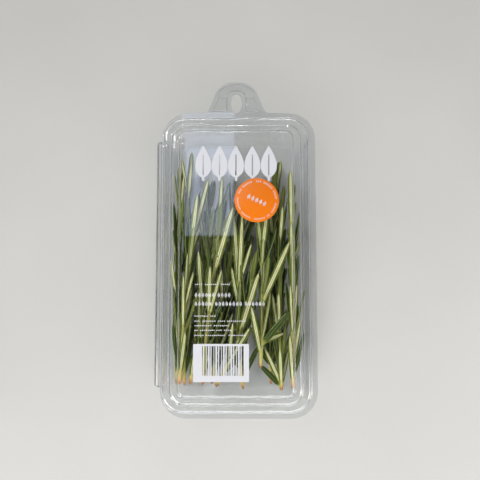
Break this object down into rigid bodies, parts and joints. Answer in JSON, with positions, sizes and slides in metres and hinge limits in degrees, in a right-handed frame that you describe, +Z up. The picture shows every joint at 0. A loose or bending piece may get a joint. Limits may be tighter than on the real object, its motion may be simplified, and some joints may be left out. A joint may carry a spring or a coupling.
{
  "type": "rosemary bundle in a hinged clear pack",
  "caption": "Cut rosemary sprigs lying side by side in a clear hinged pack with stepped lid, round sticker and hang tab.",
  "frame": {"origin": "middle of the tray's flat underside", "axes": "+Z up through the lid, +Y from the cut stem ends to the hang tab, +X away from the hinge"},
  "size_m": [0.1012, 0.2136, 0.0254],
  "materials": {
    "clear_sheet": "clear thermoformed PET sheet, glossy, slightly wavy, with soft rounded steps",
    "orange_paper": "coated orange label paper with a fine white printed ring",
    "rosemary_leaf": "fresh rosemary: dark green leathery leaf top, pale felted underside between rolled green margins, yellow-green woody stem with a tan cut end",
    "white_ink": "opaque white screen-printed ink"
  },
  "bodies": {
    "tray": {"tray": "clear_sheet", "sprig_01": "rosemary_leaf", "sprig_02": "rosemary_leaf", "sprig_03": "rosemary_leaf", "sprig_04": "rosemary_leaf", "sprig_05": "rosemary_leaf", "sprig_06": "rosemary_leaf", "sprig_07": "rosemary_leaf", "sprig_08": "rosemary_leaf", "sprig_09": "rosemary_leaf", "sprig_10": "rosemary_leaf", "sprig_11": "rosemary_leaf", "sprig_12": "rosemary_leaf"},
    "lid": {"lid": "clear_sheet", "round_sticker": "orange_paper"}
  },
  "joints": [
    {"name": "lid_hinge", "type": "hinge", "parent": "tray", "child": "lid", "pos_m": [-0.0507, 0, 0.017], "axis": [0, -1, 0], "range_deg": [0, 180]}
  ]
}
